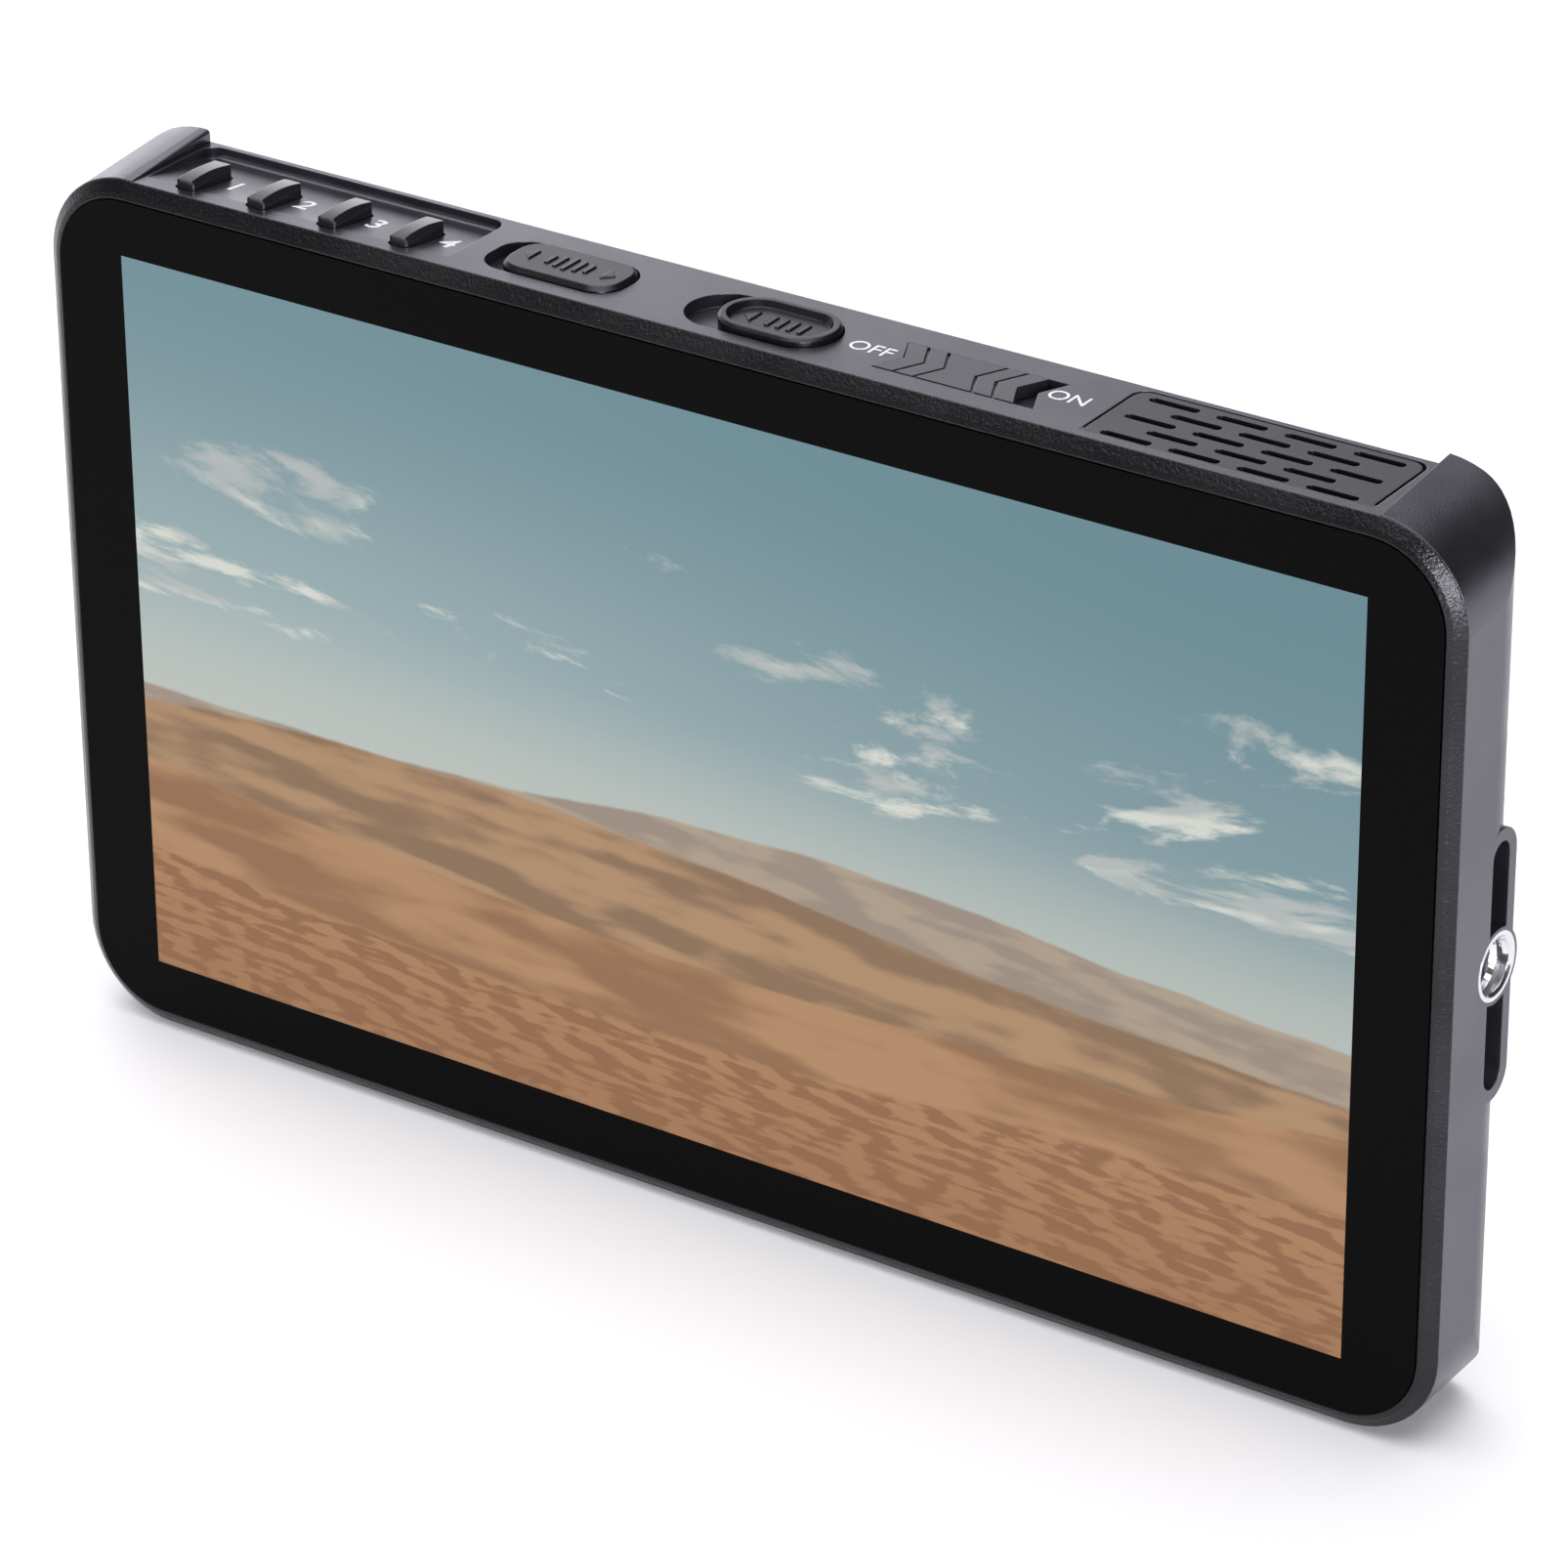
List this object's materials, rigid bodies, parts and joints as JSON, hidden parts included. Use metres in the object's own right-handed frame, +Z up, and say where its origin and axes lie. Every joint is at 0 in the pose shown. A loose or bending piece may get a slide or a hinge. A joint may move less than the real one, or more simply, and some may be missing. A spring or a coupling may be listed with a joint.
{
  "type": "camera field monitor",
  "caption": "Slim touch-screen monitor for a camera, with a key deck on its top edge, tripod threads, side sockets and a sliding battery plate on the back.",
  "frame": {"origin": "middle of the footprint on the bottom edge that the monitor stands on", "axes": "+X to the right across the screen, +Y from the glass to the back, +Z up"},
  "size_m": [0.151, 0.0198, 0.0902],
  "materials": {
    "housing_plastic": "satin moulded, fine spark-eroded grain",
    "frame_metal": "black anodised over a coarse blasted grain",
    "cover_glass": "black-backed touch glass, polished",
    "grille_plastic": "fine matt",
    "key_plastic": "satin",
    "slider_plastic": "satin",
    "power_plastic": "satin",
    "plate_plastic": "matt glass-filled",
    "steel_bright": "turned",
    "screw_black": "blackened",
    "screw_steel": "zinc plated",
    "sheet_steel": "stamped",
    "socket_steel": "nickel plated",
    "contact_brass": "gold flashed",
    "board_green": "solder mask",
    "chip_black": "moulded",
    "heat_sink": "anodised clear",
    "gasket_foam": "closed-cell foam tape",
    "panel_glass": "display panel",
    "backlight_white": "diffuser",
    "ribbon_film": "polyimide film",
    "insulator": "film",
    "spring_wire": "drawn wire",
    "latch_plastic": "acetal"
  },
  "bodies": {
    "monitor": {"front_frame": "frame_metal", "cover_glass": "cover_glass", "glass_gasket": "gasket_foam", "display_panel": "panel_glass", "backlight": "backlight_white", "panel_bracket": "sheet_steel", "bracket_screws": "screw_steel", "main_housing": "housing_plastic", "vent_grille": "grille_plastic", "rear_cover": "housing_plastic", "cover_screws": "screw_black", "release_keeper": "sheet_steel", "keeper_screws": "screw_steel", "key_board": "board_green", "key_switches": "socket_steel", "touch_switch": "socket_steel", "power_board": "board_green", "power_switch": "socket_steel", "switch_screws": "screw_steel", "insulator_sheet": "insulator", "main_board": "board_green", "board_screws": "screw_steel", "processor": "chip_black", "heat_sink": "heat_sink", "hdmi_in": "socket_steel", "hdmi_out": "socket_steel", "usb_socket": "socket_steel", "headphone_socket": "chip_black", "dc_socket": "chip_black", "display_ribbon": "ribbon_film", "key_ribbon": "ribbon_film", "power_ribbon": "ribbon_film", "side_insert": "steel_bright", "bottom_insert": "steel_bright", "battery_plate": "plate_plastic", "plate_screws": "screw_steel", "contact_block": "chip_black", "battery_contacts": "contact_brass", "contact_board": "board_green", "battery_ribbon": "ribbon_film", "latch_spring": "spring_wire"},
    "key_1": {"key_1": "key_plastic"},
    "key_2": {"key_2": "key_plastic"},
    "key_3": {"key_3": "key_plastic"},
    "key_4": {"key_4": "key_plastic"},
    "touch_slider": {"touch_slider": "slider_plastic"},
    "release_slider": {"release_slider": "slider_plastic"},
    "battery_latch": {"battery_latch": "latch_plastic"},
    "power_slider": {"power_slider": "power_plastic"}
  },
  "joints": [
    {"name": "key_1_press", "type": "slide", "parent": "monitor", "child": "key_1", "axis": [0, 0, -1], "range_m": [0, 0.00035], "stiffness_N_per_m": 1200},
    {"name": "key_2_press", "type": "slide", "parent": "monitor", "child": "key_2", "axis": [0, 0, -1], "range_m": [0, 0.00035], "stiffness_N_per_m": 1200},
    {"name": "key_3_press", "type": "slide", "parent": "monitor", "child": "key_3", "axis": [0, 0, -1], "range_m": [0, 0.00035], "stiffness_N_per_m": 1200},
    {"name": "key_4_press", "type": "slide", "parent": "monitor", "child": "key_4", "axis": [0, 0, -1], "range_m": [0, 0.00035], "stiffness_N_per_m": 1200},
    {"name": "touch_lock_slide", "type": "slide", "parent": "monitor", "child": "touch_slider", "axis": [-1, 0, 0], "range_m": [0, 0.0018]},
    {"name": "battery_release_slide", "type": "slide", "parent": "monitor", "child": "release_slider", "axis": [-1, 0, 0], "range_m": [0, 0.0034], "stiffness_N_per_m": 150},
    {"name": "battery_latch_retract", "type": "slide", "parent": "monitor", "child": "battery_latch", "axis": [0, -1, 0], "range_m": [0, 0.0019], "stiffness_N_per_m": 250, "deforming": ["latch_spring"]},
    {"name": "power_slide", "type": "slide", "parent": "monitor", "child": "power_slider", "axis": [1, 0, 0], "range_m": [0, 0.002]}
  ],
  "couplings": [
    {"joint": "battery_latch_retract", "follows": "battery_release_slide", "ratio": 0.5588}
  ]
}
